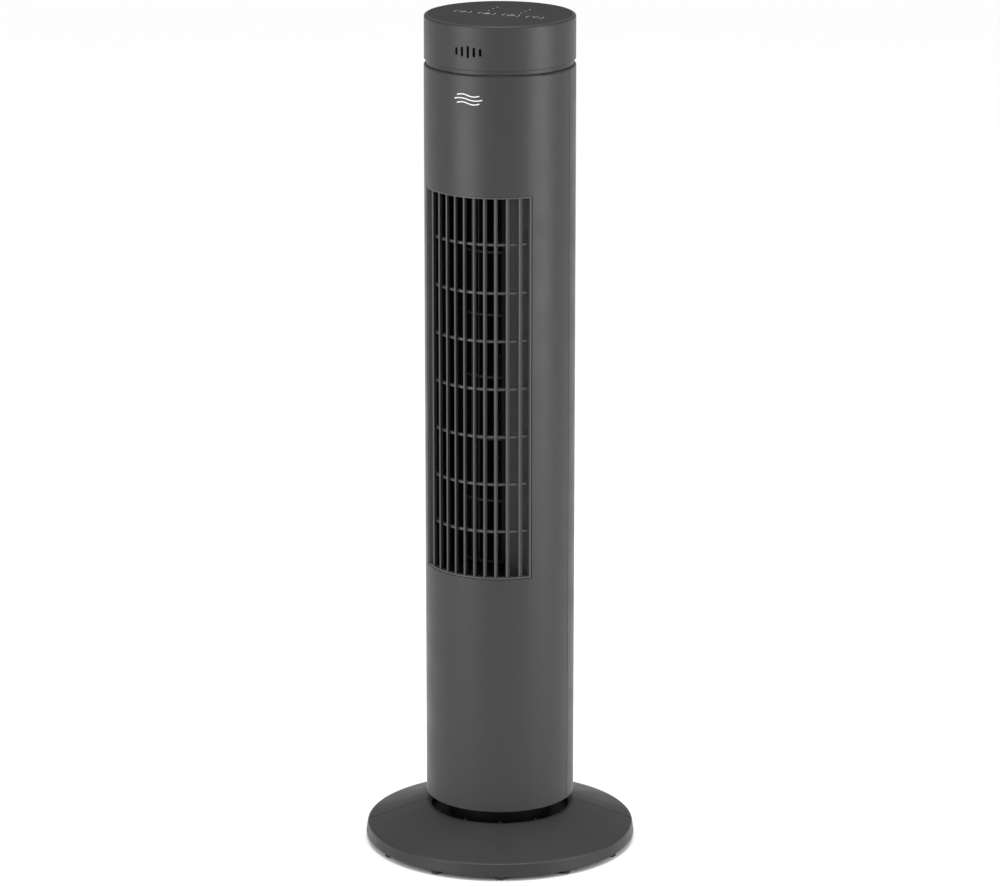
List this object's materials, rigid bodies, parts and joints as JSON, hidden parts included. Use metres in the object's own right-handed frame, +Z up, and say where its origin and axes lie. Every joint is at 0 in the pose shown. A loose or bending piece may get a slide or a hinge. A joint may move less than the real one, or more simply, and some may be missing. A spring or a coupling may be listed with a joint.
{
  "type": "tower fan",
  "caption": "Slim round tower fan on a low disc base, with a curved barred outlet, a touch panel on top and a body that swings on a geared swivel.",
  "frame": {"origin": "on the floor, under the middle of the round base", "axes": "+Z up along the tower; the air outlet of the tower faces -Y at rest, and the base's front is turned 25 degrees from it towards +X, half way through the swing"},
  "size_m": [0.2396, 0.2396, 0.745],
  "materials": {
    "housing_plastic": "moulded dark grey plastic with a soft gloss",
    "grille_plastic": "moulded dark grey plastic, satin",
    "duct_plastic": "black moulded plastic",
    "black_plastic": "black moulded plastic",
    "panel_gloss": "smooth dark touch panel",
    "rubber": "soft black rubber",
    "steel": "plated steel",
    "zinc_plate": "zinc-plated sheet steel",
    "lamination_steel": "stacked electrical steel",
    "copper_wire": "enamelled copper wire",
    "bronze": "sintered bronze",
    "acetal": "white acetal",
    "circuit_board": "green circuit board",
    "component_black": "moulded components",
    "lamp_clear": "clear lamp bodies",
    "foam": "conductive foam",
    "cable_sheath": "cable sheath"
  },
  "bodies": {
    "base": {"base_front_half": "housing_plastic", "base_rear_half": "housing_plastic", "base_joint_screws": "steel", "base_feet": "rubber", "cord_gland": "black_plastic", "swivel_plate": "black_plastic", "swivel_plate_screws": "steel", "glide_ring": "black_plastic", "fixed_ring_gear": "acetal", "ring_gear_screws": "steel"},
    "tower": {"bearing_holder": "black_plastic", "bearing_rubber": "rubber", "bearing_screws": "steel", "board_screws": "steel", "bottom_cover": "black_plastic", "buzzer": "component_black", "capacitor_shelf": "black_plastic", "control_board": "circuit_board", "display_module": "component_black", "duct_bottom_plate": "duct_plastic", "duct_top_plate": "duct_plastic", "electronics_bracket": "zinc_plate", "front_housing": "housing_plastic", "harness_clips": "black_plastic", "head_base": "housing_plastic", "head_screws": "steel", "head_shell": "housing_plastic", "housing_screws": "steel", "indicator_leds": "lamp_clear", "intake_grille": "grille_plastic", "motor_bearings": "bronze", "motor_lower_cover": "zinc_plate", "motor_rubbers": "rubber", "motor_screws": "steel", "motor_stator": "lamination_steel", "motor_upper_cover": "zinc_plate", "motor_windings": "copper_wire", "oscillation_motor": "zinc_plate", "outlet_grille": "grille_plastic", "power_board": "circuit_board", "power_board_parts": "component_black", "rear_housing": "housing_plastic", "remote_receiver": "component_black", "run_capacitor": "component_black", "scroll_wall": "duct_plastic", "swivel_neck": "black_plastic", "swivel_screws": "steel", "tongue_wall": "duct_plastic", "top_bearing": "bronze", "top_panel": "panel_gloss", "touch_pads": "foam", "wiring_harness": "cable_sheath"},
    "rotor": {"impeller": "black_plastic", "impeller_hub": "acetal", "hub_set_screw": "steel", "motor_shaft": "steel", "motor_rotor": "lamination_steel", "impeller_journal": "steel"},
    "pinion": {"oscillation_pinion": "acetal", "oscillation_shaft": "steel"}
  },
  "joints": [
    {"name": "oscillation", "type": "hinge", "parent": "base", "child": "tower", "pos_m": [0, 0, 0], "axis": [0, 0, 1], "range_deg": [-15, 65]},
    {"name": "impeller_spin", "type": "hinge", "parent": "tower", "child": "rotor", "pos_m": [-0.003, 0.014, 0.4], "axis": [0, 0, 1], "continuous": true},
    {"name": "pinion_spin", "type": "hinge", "parent": "tower", "child": "pinion", "pos_m": [0, 0.036, 0.053], "axis": [0, 0, 1], "range_deg": [-50, 200]}
  ],
  "couplings": [
    {"joint": "pinion_spin", "follows": "oscillation", "ratio": 3}
  ]
}
